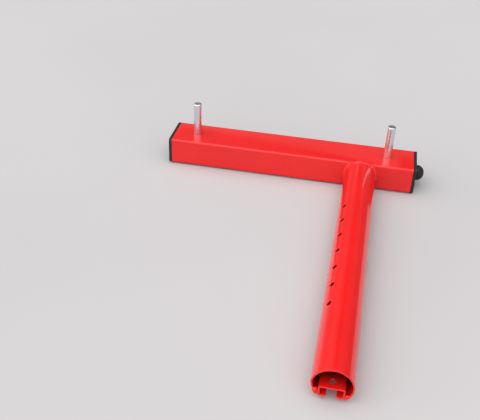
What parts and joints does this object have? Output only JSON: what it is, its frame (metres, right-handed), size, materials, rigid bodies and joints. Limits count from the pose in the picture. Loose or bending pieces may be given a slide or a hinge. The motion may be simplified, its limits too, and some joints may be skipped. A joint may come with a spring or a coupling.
{
  "type": "paddock stand support arm",
  "caption": "Slide-on arm of a motorcycle paddock stand: rectangular crossbar with upright locating pins and a rubber bumper, on a round stem with index holes and a slotted rail.",
  "frame": {"origin": "centre of the arm's footprint, in the plane of its crossbar's underside", "axes": "+X along the crossbar to the bumper end, -Y down the stem to its open end, +Z the way the locating pins point"},
  "size_m": [0.385, 0.483, 0.09],
  "materials": {
    "red_powder_coat": "gloss red powder coat with faint orange peel",
    "bright_pin_steel": "bright turned and polished steel",
    "black_cap_plastic": "satin moulded black plastic with a fine grain",
    "black_rubber": "smooth satin black rubber",
    "zinc_plated_steel": "bright zinc plate"
  },
  "bodies": {
    "root": {"crossbar_tube": "red_powder_coat", "stem_tube": "red_powder_coat", "c_rail": "red_powder_coat", "stem_weld_top": "red_powder_coat", "stem_weld_plain_side": "red_powder_coat", "stem_weld_bumper_side": "red_powder_coat", "rail_weld_plain_side": "red_powder_coat", "rail_weld_bumper_side": "red_powder_coat", "pin_weld_plain_end": "red_powder_coat", "pin_weld_bumper_end": "red_powder_coat", "locating_pin_plain_end": "bright_pin_steel", "locating_pin_bumper_end": "bright_pin_steel", "end_cap_plain": "black_cap_plastic", "end_cap_bumper": "black_cap_plastic", "bumper_dome": "black_rubber", "bumper_stud": "zinc_plated_steel", "bumper_washer": "zinc_plated_steel", "bumper_nut": "zinc_plated_steel"}
  },
  "joints": []
}
